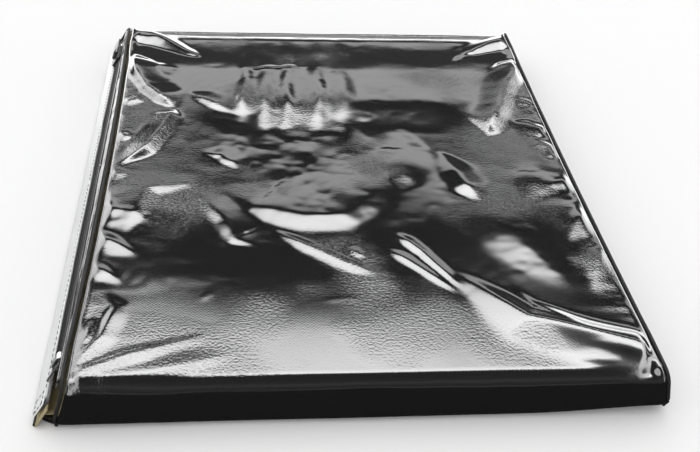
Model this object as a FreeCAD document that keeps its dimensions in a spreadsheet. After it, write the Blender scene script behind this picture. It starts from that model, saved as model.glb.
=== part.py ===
import FreeCAD, Part
import os
import Sketcher

# Soft box-shaped safe bag lying on its base. +X is the right end wall, -Y the front wall, +Z up.
# The origin is the middle of the bag's footprint, on the surface that it stands on.
# The left end wall holds the zip. Both end walls lean outward towards the base, the left one more.

Vector = FreeCAD.Vector
Rotation = FreeCAD.Rotation
Placement = FreeCAD.Placement

document = FreeCAD.newDocument("SafeBag")
sheet = document.addObject("Spreadsheet::Sheet", "Dims")

DIMENSIONS = [
    ("wide", 246.0, "base width over the end walls"),
    ("deep", 306.0, "depth over the front and back walls"),
    ("tall", 21.5, "height of the bag"),
    ("lean_zip", 31.0, "lean of the left end wall, the one with the zip, in degrees from upright"),
    ("lean_end", 10.0, "lean of the closed right end wall, in degrees from upright"),
    ("roll_top", 6.0, "outer radius of the rolled top edges"),
    ("roll_base", 5.0, "outer radius of the rolled base edges"),
    ("base_return", 12.0, "how far the wrap turns in under the bag"),
    ("cloth", 0.8, "thickness of the outer cloth"),
    ("padding", 2.0, "thickness of the padding"),
    ("lining", 0.6, "thickness of the lining"),
    ("play", 0.1, "gap between plies"),
    ("seam_inset", 2.2, "room left for the piping at the end of each ply"),
    ("piping", 1.05, "radius of the piping cord"),
    ("chain_down", 8.0, "chain line, measured down the wall from its top edge"),
    ("cloth_half", 4.8, "half the width between the two cloth edges along the zip"),
    ("slot_half", 0.4, "half the slot between the two coils"),
    ("coil_half", 3.0, "half the width over the two coils"),
    ("coil_rise", 0.2, "how far the coils stand out of the wall"),
    ("coil_sink", 2.2, "how far the coils reach into the wall"),
    ("coil_round", 0.5, "rounding of the coils' long edges"),
    ("tape", 0.4, "thickness of the zip tape"),
    ("tape_sink", 0.9, "depth of the tape's outer face in the wall"),
    ("tape_wide", 5.5, "width of the lower tape beside its coil"),
    ("mouth_front", -103.6, "front end of the part of the mouth that folds open"),
    ("mouth_back", 105.6, "back end of the part of the mouth that folds open"),
    ("lip_gap", 0.4, "gap at each end of the lips"),
    ("band_clear", 0.25, "gap between the upper band and the seam's end"),
    ("tape_clear", 0.4, "gap between the upper tape and the seam's end"),
    ("lip_foot", 22.8, "lower edge of the lower lip, down the wall"),
    ("coil_front", -134.0, "front end of the coils"),
    ("coil_back", 131.6, "back end of the coils"),
    ("stop_front", -130.0, "middle of the bottom stop"),
    ("stop_long", 4.0, "length of the bottom stop along the chain"),
    ("stop_half", 3.4, "half the width of the bottom stop"),
    ("clip", 0.6, "plate thickness of the bottom stop"),
    ("clip_clear", 0.1, "gap between the bottom stop and the coils"),
    ("top_stop_long", 2.4, "length of a top stop"),
    ("tack_front", -137.0, "front bar tack"),
    ("tack_back", 137.0, "back bar tack"),
    ("tack_half", 0.5, "half the width of a bar tack"),
    ("thread", 0.5, "thickness of a bar tack"),
    ("hem_front", -149.0, "front end of the strip's hem"),
    ("hem_back", -142.0, "back end of the strip's hem"),
    ("hem_cloth", 0.6, "thickness of the folded hem"),
    ("slider_place", 123.0, "middle of the slider when the zip is shut"),
    ("slider_long", 14.0, "length of the slider"),
    ("slider_half", 4.5, "half the width of the slider"),
    ("slider_nose", 1.6, "cut corners of the slider's plates"),
    ("plate", 1.0, "thickness of the slider's plates"),
    ("plate_out", 1.4, "outer face of the slider's outer plate"),
    ("plate_in", 3.6, "inner face of the slider's inner plate"),
    ("flange_in", 0.5, "depth of the outer plate's flanges"),
    ("flange_out", 1.7, "depth where the inner plate's flanges begin"),
    ("flange_half", 3.35, "half the width between the flanges"),
    ("web_half", 0.25, "half the thickness of the web between the coils"),
    ("web_long", 3.5, "length of that web"),
    ("bail_half", 0.7, "half the thickness of the bail"),
    ("bail_reach", 3.0, "half the length of the bail"),
    ("bail_eye", 1.8, "half the length of the bail's eye"),
    ("bail_top", 3.3, "outer face of the bail"),
    ("bail_roof", 2.55, "outer side of the bail's eye"),
    ("pin", 0.4, "radius of the pull's cross pin"),
    ("pin_out", 2.0, "how far the cross pin stands out of the wall"),
    ("pin_half", 2.8, "half the length of the cross pin"),
    ("arm_half", 1.5, "half the gap between the pull's arms"),
    ("arm_long", 6.5, "length of the pull's arms"),
    ("pull_long", 17.0, "length of the pull from its pin"),
    ("pull_half", 3.2, "half the width of the pull"),
    ("pull_nose", 1.2, "cut corners of the pull"),
]


def fill_sheet():
    """One row for each driving dimension: its name, its value and what it is."""
    for row, (name, value, meaning) in enumerate(DIMENSIONS, start=1):
        sheet.set("A%d" % row, name)
        sheet.set("B%d" % row, str(value))
        sheet.set("C%d" % row, meaning)
        sheet.setAlias("B%d" % row, name)
    document.recompute()


fill_sheet()

LEFT = "-1"
RIGHT = "1"
HALF_DEEP = "Dims.deep/2"
PLIES = "(Dims.cloth+Dims.padding+Dims.lining+2*Dims.play)"
PADDING_IN = "(Dims.cloth+Dims.play)"
LINING_IN = "(Dims.cloth+Dims.padding+2*Dims.play)"


def lean(side):
    return "Dims.lean_zip" if side == LEFT else "Dims.lean_end"


def edge_x(side, height, depth):
    """Distance from the middle to an end wall's slanting face at a height, a depth inside that face."""
    return "(Dims.wide/2 - (%s)*tan(%s) - (%s)/cos(%s))" % (height, lean(side), depth, lean(side))


def up(side, down):
    """Distance up an end wall from the base corner, for a distance down from its top edge."""
    return "(Dims.tall/cos(%s) - (%s))" % (lean(side), down)


def out(side, distance):
    """Local x of a point this far outside an end wall's face."""
    return "(%s*(%s))" % (side, distance)


def new_body(label):
    body = document.addObject("PartDesign::Body", label)
    body.Label = label
    body.AllowCompound = True
    return body


def wall_body(label, side):
    """A body in an end wall's own frame: x along the wall's normal, z up its slope, y along the bag."""
    body = new_body(label)
    axis = Vector(0, 1, 0) if side == LEFT else Vector(0, -1, 0)
    body.Placement = Placement(Vector(0, 0, 0), Rotation(axis, 1))
    body.setExpression("Placement.Base.x", "%s*Dims.wide/2" % side)
    body.setExpression("Placement.Rotation.Angle", lean(side))
    return body


def origin_plane(body, role):
    return [item for item in body.Origin.OriginFeatures if item.Role == role][0]


def new_sketch(body, role, offset="0"):
    """A sketch on one of the body's origin planes, moved along that plane's normal."""
    sketch = body.newObject("Sketcher::SketchObject", body.Name + "_sketch")
    sketch.AttachmentSupport = (origin_plane(body, role), [""])
    sketch.MapMode = "FlatFace"
    sketch.setExpression("AttachmentOffset.Base.z", offset)
    return sketch


def pin_point(sketch, geometry, end, place):
    """Bind one end of a sketch's line or arc to its two expressions."""
    for kind, text in zip(("DistanceX", "DistanceY"), place):
        distance = float(sketch.evalExpression(text))
        index = sketch.addConstraint(Sketcher.Constraint(kind, -1, 1, geometry, end, distance))
        sketch.setExpression("Constraints[%d]" % index, text)


def add_loop(sketch, corners):
    """A closed outline of straight sides through corners, each a pair of expressions."""
    first = sketch.GeometryCount
    count = len(corners)
    places = [Vector(*[float(sketch.evalExpression(text)) for text in corner], 0) for corner in corners]
    for index in range(count):
        sketch.addGeometry(Part.LineSegment(places[index], places[(index + 1) % count]), False)
    for index in range(count):
        following = first + (index + 1) % count
        sketch.addConstraint(Sketcher.Constraint("Coincident", first + index, 2, following, 1))
    for index, corner in enumerate(corners):
        pin_point(sketch, first + index, 1, corner)


def rectangle(low_a, high_a, low_b, high_b):
    return [(low_a, low_b), (high_a, low_b), (high_a, high_b), (low_a, high_b)]


def pad(body, sketch, length, symmetric=False):
    feature = body.newObject("PartDesign::Pad", body.Name + "_pad")
    feature.Profile = sketch
    feature.setExpression("Length", length)
    feature.SideType = "Symmetric" if symmetric else "One side"
    document.recompute()
    return feature


def round_edges(body, base, radius, chosen):
    """Round those edges of a feature for which chosen(edge) is true."""
    names = ["Edge%d" % number for number, edge in enumerate(base.Shape.Edges, start=1) if chosen(edge)]
    if not names:
        raise ValueError("no edge to round on " + body.Label)
    feature = body.newObject("PartDesign::Fillet", body.Name + "_round")
    feature.Base = (base, names)
    feature.setExpression("Radius", radius)
    document.recompute()
    return feature


def along(edge, axis):
    """True for a straight edge that runs along one axis of the body's frame."""
    spans = [edge.BoundBox.XLength, edge.BoundBox.YLength, edge.BoundBox.ZLength]
    longest = spans.pop(axis)
    return longest > 0.1 and max(spans) < 1e-4


def value(name):
    return float(sheet.get(name))


def wrap_ply(label, depth, thickness):
    """One ply of the cloth that wraps the front wall, the top and the back wall, and turns in below."""
    body = new_body(label)
    inner = "(%s+%s)" % (depth, thickness)
    foot = "(%s-Dims.base_return)" % HALF_DEEP
    corners = [
        ("-%s" % foot, depth), ("-(%s-%s)" % (HALF_DEEP, depth), depth),
        ("-(%s-%s)" % (HALF_DEEP, depth), "Dims.tall-%s" % depth),
        ("%s-%s" % (HALF_DEEP, depth), "Dims.tall-%s" % depth),
        ("%s-%s" % (HALF_DEEP, depth), depth), (foot, depth),
        (foot, inner), ("%s-%s" % (HALF_DEEP, inner), inner),
        ("%s-%s" % (HALF_DEEP, inner), "Dims.tall-%s" % inner),
        ("-(%s-%s)" % (HALF_DEEP, inner), "Dims.tall-%s" % inner),
        ("-(%s-%s)" % (HALF_DEEP, inner), inner), ("-%s" % foot, inner),
    ]
    sketch = new_sketch(body, "YZ_Plane")
    add_loop(sketch, corners)
    feature = pad(body, sketch, "Dims.wide", symmetric=True)
    foot_y = value("deep") / 2 - value("base_return")
    for level in (depth, inner):
        inset = float(sheet.evalExpression(level.replace("Dims.", "")))
        face_y = value("deep") / 2 - inset
        for height, radius in ((value("tall") - inset, "roll_top"), (inset, "roll_base")):
            feature = round_edges(
                body, feature, "Dims.%s-%s" % (radius, level),
                lambda edge: along(edge, 0)
                and abs(abs(edge.BoundBox.YMin) - face_y) < 1e-3
                and abs(edge.BoundBox.ZMin - height) < 1e-3
                and abs(edge.BoundBox.YMin) > foot_y)
    trim_to_walls(body)
    return body


def trim_to_walls(body):
    """Cut both ends of a ply along the end walls' slope, leaving room for the piping."""
    sketch = new_sketch(body, "XZ_Plane")
    below = "(0-1)"
    above = "(Dims.tall+1)"
    beyond = "(Dims.wide/2+5)"
    for side in (LEFT, RIGHT):
        add_loop(sketch, [
            (out(side, edge_x(side, below, "Dims.seam_inset")), below), (out(side, beyond), below),
            (out(side, beyond), above), (out(side, edge_x(side, above, "Dims.seam_inset")), above)])
    before = body.Shape.Volume
    feature = body.newObject("PartDesign::Pocket", body.Name + "_trim")
    feature.Profile = sketch
    feature.SideType = "Symmetric"
    feature.setExpression("Length", "Dims.deep+2")
    document.recompute()
    if body.Shape.Volume > before - 1.0:
        raise ValueError("the ends of %s were not cut" % body.Label)


def bottom_ply(label, depth, thickness, right_depth):
    """One ply of the bottom panel, a flat sheet between the two turned-in edges of the wrap."""
    body = new_body(label)
    top = "(%s+%s)" % (depth, thickness)
    sketch = new_sketch(body, "XZ_Plane")
    add_loop(sketch, [
        (out(LEFT, edge_x(LEFT, depth, "Dims.seam_inset")), depth),
        (edge_x(RIGHT, depth, right_depth), depth), (edge_x(RIGHT, top, right_depth), top),
        (out(LEFT, edge_x(LEFT, top, "Dims.seam_inset")), top)])
    pad(body, sketch, "2*(%s-Dims.base_return-Dims.play)" % HALF_DEEP, symmetric=True)
    return body


def add_wall_bar(body, side, down, outward, span):
    """A flat bar along an end wall: its two distances down the wall, its depth range and its Y range."""
    sketch = new_sketch(body, "XZ_Plane", "-(%s)" % span[1])
    add_loop(sketch, rectangle(out(side, outward[0]), out(side, outward[1]),
                               up(side, down[1]), up(side, down[0])))
    return pad(body, sketch, "(%s)-(%s)" % (span[1], span[0]))


def end_wall_ply(label, depth, thickness, top_down, base_height, half_long, radii):
    """One ply of the right end wall, with its corners rounded to sit inside the wrap."""
    body = wall_body(label, RIGHT)
    inner = "(%s+%s)" % (depth, thickness)
    base_down = "((Dims.tall-%s-%s*sin(Dims.lean_end))/cos(Dims.lean_end))" % (base_height, inner)
    span = ("-(%s)" % half_long, half_long)
    feature = add_wall_bar(body, RIGHT, (top_down, base_down), ("-(%s)" % inner, "-(%s)" % depth), span)
    middle = value("tall") / 2
    feature = round_edges(body, feature, radii[0],
                          lambda edge: along(edge, 0) and edge.BoundBox.ZMin > middle)
    round_edges(body, feature, radii[1], lambda edge: along(edge, 0) and edge.BoundBox.ZMin < middle)
    return body


def piping_cord(label, side):
    """The cord sewn into the seam: up the front corner, along the top edge and down the back corner."""
    body = wall_body(label, side)
    inset = "(Dims.piping+Dims.play/2)"
    path = new_sketch(body, "YZ_Plane", out(side, "-%s" % inset))
    reach = "(%s-%s)" % (HALF_DEEP, inset)
    crown = up(side, inset)
    bend = "(Dims.roll_top-%s)" % inset
    foot = "(Dims.piping+Dims.play+%s*tan(%s))" % (inset, lean(side))
    places = [
        ("-%s" % reach, foot), ("-%s" % reach, "%s-%s" % (crown, bend)),
        ("-(%s-%s)" % (reach, bend), crown), ("%s-%s" % (reach, bend), crown),
        (reach, "%s-%s" % (crown, bend)), (reach, foot)]
    spots = [Vector(*[float(path.evalExpression(text)) for text in place], 0) for place in places]
    radius = float(path.evalExpression(bend))
    lines = [path.addGeometry(Part.LineSegment(spots[k], spots[k + 1]), False) for k in (0, 2, 4)]
    for index, line in enumerate(lines):
        pin_point(path, line, 1, places[2 * index])
        pin_point(path, line, 2, places[2 * index + 1])
    quarter = 1.5707963267948966
    corners = [(spots[1] + Vector(radius, 0, 0), quarter), (spots[4] - Vector(radius, 0, 0), 0.0)]
    for index, (centre, start) in enumerate(corners):
        circle = Part.Circle(centre, Vector(0, 0, 1), radius)
        arc = path.addGeometry(Part.ArcOfCircle(circle, start, start + quarter), False)
        path.addConstraint(Sketcher.Constraint("Coincident", arc, 2, lines[index], 2))
        path.addConstraint(Sketcher.Constraint("Coincident", arc, 1, lines[index + 1], 1))
        bound = path.addConstraint(Sketcher.Constraint("Radius", arc, radius))
        path.setExpression("Constraints[%d]" % bound, bend)
    document.recompute()
    profile = body.newObject("Sketcher::SketchObject", body.Name + "_section")
    profile.AttachmentSupport = (path, ["Edge1"])
    profile.MapMode = "NormalToEdge"
    profile.addGeometry(Part.Circle(Vector(0, 0, 0), Vector(0, 0, 1), value("piping")), False)
    profile.addConstraint(Sketcher.Constraint("Coincident", 0, 3, -1, 1))
    bound = profile.addConstraint(Sketcher.Constraint("Radius", 0, value("piping")))
    profile.setExpression("Constraints[%d]" % bound, "Dims.piping")
    document.recompute()
    cord = body.newObject("PartDesign::AdditivePipe", body.Name + "_cord")
    cord.Profile = profile
    cord.Spine = path
    document.recompute()
    return body


UPPER = "(Dims.chain_down-Dims.%s)"
LOWER = "(Dims.chain_down+Dims.%s)"
FACE = ("-Dims.cloth", "0")
BEHIND = ("-(2*Dims.cloth+Dims.tape)", "-(Dims.cloth+Dims.tape+2*Dims.play)")
TAPE_FACE = ("-(Dims.tape_sink+Dims.tape)", "-Dims.tape_sink")
COIL_FACE = ("-Dims.coil_sink", "Dims.coil_rise")
CORNER = "(%s-Dims.seam_inset)" % HALF_DEEP
LIPS = ("Dims.mouth_front", "Dims.mouth_back")
FRONT_END = ("-%s" % CORNER, "Dims.mouth_front-Dims.lip_gap")
BACK_END = ("Dims.mouth_back+Dims.lip_gap", CORNER)
BESIDE_BEND = "(%s-Dims.roll_top)" % HALF_DEEP
UPPER_ENDS = [("-%s" % BESIDE_BEND, FRONT_END[1]), (BACK_END[0], BESIDE_BEND)]
FRONT_COIL = ("Dims.coil_front", FRONT_END[1])
BACK_COIL = (BACK_END[0], "Dims.coil_back")

BAND = ("(Dims.seam_inset+Dims.band_clear)", UPPER % "cloth_half")
STRIP = (LOWER % "cloth_half", "Dims.lip_foot")
STRIP_END = (LOWER % "cloth_half", "((Dims.tall-Dims.cloth*sin(Dims.lean_zip))/cos(Dims.lean_zip))")
UPPER_TAPE = ("(Dims.seam_inset+Dims.tape_clear)", UPPER % "coil_half" + "-Dims.play")
LOWER_TAPE = (LOWER % "coil_half" + "+Dims.play", LOWER % "coil_half" + "+Dims.tape_wide")
UPPER_COIL = (UPPER % "coil_half", UPPER % "slot_half")
LOWER_COIL = (LOWER % "slot_half", LOWER % "coil_half")


def zip_wall_piece(label, down, outward, spans, rounding=None):
    """A piece of the zip wall, one bar for each Y range."""
    body = wall_body(label, LEFT)
    for span in spans:
        feature = add_wall_bar(body, LEFT, down, outward, span)
    if rounding:
        round_edges(body, feature, rounding, lambda edge: along(edge, 1))
    return body


def bottom_stop():
    """The clip that shuts the chain's front end: a plate on each side of the coils, joined between them."""
    body = wall_body("zip_bottom_stop", LEFT)
    span = ("Dims.stop_front-Dims.stop_long/2", "Dims.stop_front+Dims.stop_long/2")
    wide = (UPPER % "stop_half", LOWER % "stop_half")
    near = "(Dims.coil_rise+Dims.clip_clear)"
    far = "(Dims.coil_sink+Dims.clip_clear)"
    web = (UPPER % "web_half", LOWER % "web_half")
    add_wall_bar(body, LEFT, wide, (near, "%s+Dims.clip" % near), span)
    add_wall_bar(body, LEFT, web, ("-(%s+Dims.clip/2)" % far, "%s+Dims.clip/2" % near), span)
    add_wall_bar(body, LEFT, wide, ("-(%s+Dims.clip)" % far, "-%s" % far), span)
    return body


def top_stops():
    """The two small clips that end the coils at the back of the zip."""
    span = ("Dims.coil_back+Dims.lip_gap", "Dims.coil_back+Dims.lip_gap+Dims.top_stop_long")
    outward = ("-(Dims.coil_sink-Dims.coil_rise)", "-Dims.play")
    body = wall_body("zip_top_stops", LEFT)
    for down in (UPPER_COIL, LOWER_COIL):
        add_wall_bar(body, LEFT, down, outward, span)
    return body


def slider_frame(label):
    """A body on the chain line of the zip wall, at the place where the slider is parked when shut."""
    body = wall_body(label, LEFT)
    height = up(LEFT, "Dims.chain_down")
    body.setExpression("Placement.Base.x", "-Dims.wide/2 + %s*sin(Dims.lean_zip)" % height)
    body.setExpression("Placement.Base.y", "Dims.slider_place")
    body.setExpression("Placement.Base.z", "%s*cos(Dims.lean_zip)" % height)
    return body


def add_plate(body, corners, outer, thickness):
    """A plate parallel to the wall, from its outer face inward."""
    sketch = new_sketch(body, "YZ_Plane", out(LEFT, outer))
    add_loop(sketch, corners)
    return pad(body, sketch, thickness)


def cut_corner_plate(half_long, half_wide, nose):
    long = (half_long, "(%s-%s)" % (half_long, nose))
    wide = (half_wide, "(%s-%s)" % (half_wide, nose))
    return [
        ("-" + long[0], "-" + wide[1]), ("-" + long[1], "-" + wide[0]),
        (long[1], "-" + wide[0]), (long[0], "-" + wide[1]),
        (long[0], wide[1]), (long[1], wide[0]),
        ("-" + long[1], wide[0]), ("-" + long[0], wide[1])]


def zip_slider():
    """Two plates with flanges round the coils, a web that parts them, and a bail for the pull."""
    body = slider_frame("slider_body")
    half_long = "(Dims.slider_long/2)"
    plate = cut_corner_plate(half_long, "Dims.slider_half", "Dims.slider_nose")
    add_plate(body, plate, "Dims.plate_out", "Dims.plate")
    flat = "(%s-Dims.slider_nose)" % half_long
    web = rectangle("(%s-Dims.web_long)" % half_long, half_long + "-Dims.play", "-Dims.web_half",
                    "Dims.web_half")
    add_plate(body, web, "Dims.plate_out-Dims.plate/2", "Dims.plate_out+Dims.plate_in-Dims.plate")
    add_plate(body, plate, "-(Dims.plate_in-Dims.plate)", "Dims.plate")
    for side in (LEFT, RIGHT):
        flange = rectangle("-" + flat, flat, out(side, "Dims.flange_half"), out(side, "Dims.slider_half"))
        add_plate(body, flange, "Dims.plate_out-Dims.plate/2",
                  "Dims.plate_out-Dims.plate/2+Dims.flange_in")
        add_plate(body, flange, "-Dims.flange_out",
                  "Dims.plate_in-Dims.plate/2-Dims.flange_out")
    bail = new_sketch(body, "XY_Plane")
    root = out(LEFT, "Dims.plate_out-Dims.plate/2")
    top = out(LEFT, "Dims.bail_top")
    roof = out(LEFT, "Dims.bail_roof")
    add_loop(bail, [
        (root, "-Dims.bail_reach"), (top, "-Dims.bail_reach"), (top, "Dims.bail_reach"),
        (root, "Dims.bail_reach"), (root, "Dims.bail_eye"), (roof, "Dims.bail_eye"),
        (roof, "-Dims.bail_eye"), (root, "-Dims.bail_eye")])
    pad(body, bail, "2*Dims.bail_half", symmetric=True)
    return body


def zip_pull():
    """The tab that is pulled: a cross pin through the bail, two arms and a flat tab."""
    body = slider_frame("pull_tab")
    pin = new_sketch(body, "XY_Plane")
    pin.addGeometry(Part.Circle(Vector(-value("pin_out"), 0, 0), Vector(0, 0, 1), value("pin")), False)
    pin_point(pin, 0, 3, (out(LEFT, "Dims.pin_out"), "0"))
    bound = pin.addConstraint(Sketcher.Constraint("Radius", 0, value("pin")))
    pin.setExpression("Constraints[%d]" % bound, "Dims.pin")
    pad(body, pin, "2*Dims.pin_half", symmetric=True)
    shoulder = "(Dims.arm_long+Dims.pull_nose)"
    nose = "(Dims.pull_long-Dims.pull_nose)"
    tip = "(Dims.pull_half-Dims.pull_nose)"
    tab = [
        ("-Dims.pin", "Dims.pin_half"), ("Dims.arm_long", "Dims.pin_half"), (shoulder, "Dims.pull_half"),
        (nose, "Dims.pull_half"), ("Dims.pull_long", tip), ("Dims.pull_long", "-" + tip),
        (nose, "-Dims.pull_half"), (shoulder, "-Dims.pull_half"), ("Dims.arm_long", "-Dims.pin_half"),
        ("-Dims.pin", "-Dims.pin_half"), ("-Dims.pin", "-Dims.arm_half"),
        ("Dims.arm_long", "-Dims.arm_half"), ("Dims.arm_long", "Dims.arm_half"),
        ("-Dims.pin", "Dims.arm_half")]
    add_plate(body, tab, "Dims.pin_out+Dims.pin", "2*Dims.pin")
    return body


def make_wrap_and_bottom():
    return [
        wrap_ply("outer_cover", "0", "Dims.cloth"),
        wrap_ply("cover_padding", PADDING_IN, "Dims.padding"),
        wrap_ply("cover_lining", LINING_IN, "Dims.lining"),
        bottom_ply("bottom_panel", "0", "Dims.cloth", "0"),
        bottom_ply("bottom_padding", PADDING_IN, "Dims.padding", PADDING_IN),
        bottom_ply("bottom_lining", LINING_IN, "Dims.lining", PADDING_IN),
    ]


def make_right_end():
    inner_half = "(%s-%s-Dims.play)" % (HALF_DEEP, PLIES)
    inner_base = "(%s+Dims.play)" % PLIES
    inner_top = "((%s+2*Dims.play)/cos(Dims.lean_end))" % PLIES
    inner_radii = ("Dims.roll_top-%s" % PLIES, "Dims.roll_base-%s" % PLIES)
    outer_base = "(Dims.cloth+Dims.play)"
    outer_radii = ("Dims.roll_top-Dims.seam_inset", "Dims.roll_base-Dims.seam_inset")
    return [
        end_wall_ply("right_end_wall", "0", "Dims.cloth", "Dims.seam_inset", outer_base, CORNER,
                     outer_radii),
        end_wall_ply("right_end_padding", PADDING_IN, "Dims.padding", inner_top, inner_base, inner_half,
                     inner_radii),
        end_wall_ply("right_end_lining", LINING_IN, "Dims.lining", inner_top, inner_base, inner_half,
                     inner_radii),
        piping_cord("right_piping", RIGHT),
    ]


def make_zip_wall():
    ends = [FRONT_END, BACK_END]
    coil_ends = [FRONT_COIL, BACK_COIL]
    hem = ("Dims.hem_front", "Dims.hem_back")
    hem_down = (LOWER % "cloth_half" + "+Dims.lip_gap", "Dims.lip_foot-Dims.lip_gap")
    tacks = [("Dims.%s-Dims.tack_half" % name, "Dims.%s+Dims.tack_half" % name)
             for name in ("tack_front", "tack_back")]
    tack_down = (UPPER % "cloth_half" + "-Dims.lip_gap", LOWER % "cloth_half" + "+Dims.lip_gap")
    return [
        piping_cord("left_piping", LEFT),
        zip_wall_piece("upper_band_ends", BAND, FACE, UPPER_ENDS),
        zip_wall_piece("lower_strip_ends", STRIP_END, FACE, ends),
        zip_wall_piece("strip_lining_ends", STRIP, BEHIND, ends),
        zip_wall_piece("upper_tape_ends", UPPER_TAPE, TAPE_FACE, UPPER_ENDS),
        zip_wall_piece("lower_tape_ends", LOWER_TAPE, TAPE_FACE, ends),
        zip_wall_piece("upper_coil_ends", UPPER_COIL, COIL_FACE, coil_ends, "Dims.coil_round"),
        zip_wall_piece("lower_coil_ends", LOWER_COIL, COIL_FACE, coil_ends, "Dims.coil_round"),
        bottom_stop(),
        top_stops(),
        zip_wall_piece("strip_end_hem", hem_down, ("Dims.play/2", "Dims.play/2+Dims.hem_cloth"), [hem]),
        zip_wall_piece("bar_tacks", tack_down, ("Dims.play/2", "Dims.play/2+Dims.thread"), tacks),
    ]


def make_mouth_and_slider():
    return [
        zip_wall_piece("upper_lip_band", BAND, FACE, [LIPS]),
        zip_wall_piece("upper_zip_tape", UPPER_TAPE, TAPE_FACE, [LIPS]),
        zip_wall_piece("upper_zip_coil", UPPER_COIL, COIL_FACE, [LIPS], "Dims.coil_round"),
        zip_wall_piece("lower_lip_strip", STRIP, FACE, [LIPS]),
        zip_wall_piece("lower_lip_lining", STRIP, BEHIND, [LIPS]),
        zip_wall_piece("lower_zip_tape", LOWER_TAPE, TAPE_FACE, [LIPS]),
        zip_wall_piece("lower_zip_coil", LOWER_COIL, COIL_FACE, [LIPS], "Dims.coil_round"),
        zip_slider(),
        zip_pull(),
    ]


def check_document(pieces):
    """Stop if any object failed, or if a piece has no sound shape."""
    document.recompute()
    for item in document.Objects:
        if "Invalid" in item.State or "Error" in item.State:
            raise ValueError("%s failed: %s" % (item.Name, item.State))
    for piece in pieces:
        if piece.Shape.isNull() or not piece.Shape.isValid() or not piece.Shape.Solids:
            raise ValueError("%s has no sound shape" % piece.Label)


def write_pieces(pieces):
    os.makedirs("parts", exist_ok=True)
    for piece in pieces:
        piece.Shape.exportStep("parts/%s.step" % piece.Label)
        box = piece.Shape.BoundBox
        print("%-20s %d solid(s)  volume %9.1f  x %7.2f %7.2f  y %7.2f %7.2f  z %6.2f %6.2f" % (
            piece.Label, len(piece.Shape.Solids), piece.Shape.Volume,
            box.XMin, box.XMax, box.YMin, box.YMax, box.ZMin, box.ZMax))


all_pieces = make_wrap_and_bottom() + make_right_end() + make_zip_wall() + make_mouth_and_slider()
check_document(all_pieces)
write_pieces(all_pieces)
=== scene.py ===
import math

import bpy
import numpy as np
from mathutils import Matrix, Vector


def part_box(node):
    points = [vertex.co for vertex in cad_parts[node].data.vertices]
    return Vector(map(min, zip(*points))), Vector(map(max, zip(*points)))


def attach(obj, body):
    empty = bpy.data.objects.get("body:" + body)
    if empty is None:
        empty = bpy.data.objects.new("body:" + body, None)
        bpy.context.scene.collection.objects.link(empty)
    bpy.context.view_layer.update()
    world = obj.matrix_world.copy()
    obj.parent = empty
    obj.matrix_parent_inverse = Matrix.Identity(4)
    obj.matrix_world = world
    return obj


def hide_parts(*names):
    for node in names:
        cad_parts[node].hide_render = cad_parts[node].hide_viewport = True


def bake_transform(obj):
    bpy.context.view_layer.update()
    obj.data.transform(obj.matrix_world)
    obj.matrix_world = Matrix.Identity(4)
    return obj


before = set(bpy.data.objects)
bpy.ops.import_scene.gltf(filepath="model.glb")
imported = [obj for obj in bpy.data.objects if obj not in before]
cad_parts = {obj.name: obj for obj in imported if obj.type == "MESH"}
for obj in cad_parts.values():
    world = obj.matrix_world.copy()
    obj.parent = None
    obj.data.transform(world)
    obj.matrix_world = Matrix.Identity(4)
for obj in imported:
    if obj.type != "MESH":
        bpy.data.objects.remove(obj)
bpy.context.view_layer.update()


# ---------------------------------------------------------------- camera
# The view that the bag is shown from: from in front and above, a little to the left of its middle.
# Its tilt, roll and turn are angles about X, Y and Z of a camera that would look along +Y.

def view_turn(tilt, roll, turn):
    """Rotation matrix: roll about the line of sight first, then tilt, then turn about Z."""
    a, b, c = np.radians([tilt, roll, turn])
    about_x = np.array([[1, 0, 0], [0, np.cos(a), -np.sin(a)], [0, np.sin(a), np.cos(a)]])
    about_y = np.array([[np.cos(b), 0, np.sin(b)], [0, 1, 0], [-np.sin(b), 0, np.cos(b)]])
    about_z = np.array([[np.cos(c), -np.sin(c), 0], [np.sin(c), np.cos(c), 0], [0, 0, 1]])
    return about_z @ about_x @ about_y


camera = bpy.data.objects.new("camera", bpy.data.cameras.new("camera"))
bpy.context.scene.collection.objects.link(camera)
VIEW_ANGLES = (-35.6, -4.0, -7.4)
VIEW_PLACE = (-0.0443, -0.4267, 0.2903)
turned = view_turn(*VIEW_ANGLES)
camera_matrix = np.eye(4)
camera_matrix[:3, 0] = turned[:, 0]
camera_matrix[:3, 1] = turned[:, 2]
camera_matrix[:3, 2] = -turned[:, 1]
camera_matrix[:3, 3] = VIEW_PLACE
camera.matrix_world = Matrix(camera_matrix.tolist())
camera.data.sensor_width = 36.0
camera.data.lens = 53.2
camera.data.clip_start = 0.01
bpy.context.scene.camera = camera
bpy.context.scene.view_settings.view_transform = "Standard"


# ---------------------------------------------------------------- floor and studio light
# A plain pale floor under an even white tent. Glossy cloth mirrors the studio beyond the tent: a bright
# horizon, a grey wall, a dark gap and a large lamp behind the bag, a lamp at each side, and black flags in
# front of it. In glossy rays the floor glows as a painted reflection, dark in front of the bag and bright
# behind it.

def new_material(name):
    """An empty node material."""
    material = bpy.data.materials.new(name)
    material.use_nodes = True
    material.node_tree.nodes.clear()
    return material


def add_node(tree, kind, place, values=None, **settings):
    """A node with its settings. Its inputs, by name or number, get values or outputs to be joined to."""
    node = tree.nodes.new(kind)
    node.location = place
    for key, setting in settings.items():
        setattr(node, key, setting)
    for socket, value in (values or {}).items():
        if isinstance(value, bpy.types.NodeSocket):
            wire(value, node.inputs[socket])
        else:
            node.inputs[socket].default_value = value
    return node


def object_noise(tree, values):
    """Noise over the object's own coordinates."""
    place = add_node(tree, "ShaderNodeTexCoord", (-600, 0))
    return add_node(tree, "ShaderNodeTexNoise", (-400, 0), {"Vector": place.outputs["Object"], **values})


def end_material(shader):
    """Joins a shader to the output of its material."""
    wire(shader.outputs[0], add_node(shader.id_data, "ShaderNodeOutputMaterial", (700, 0)).inputs[0])


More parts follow.
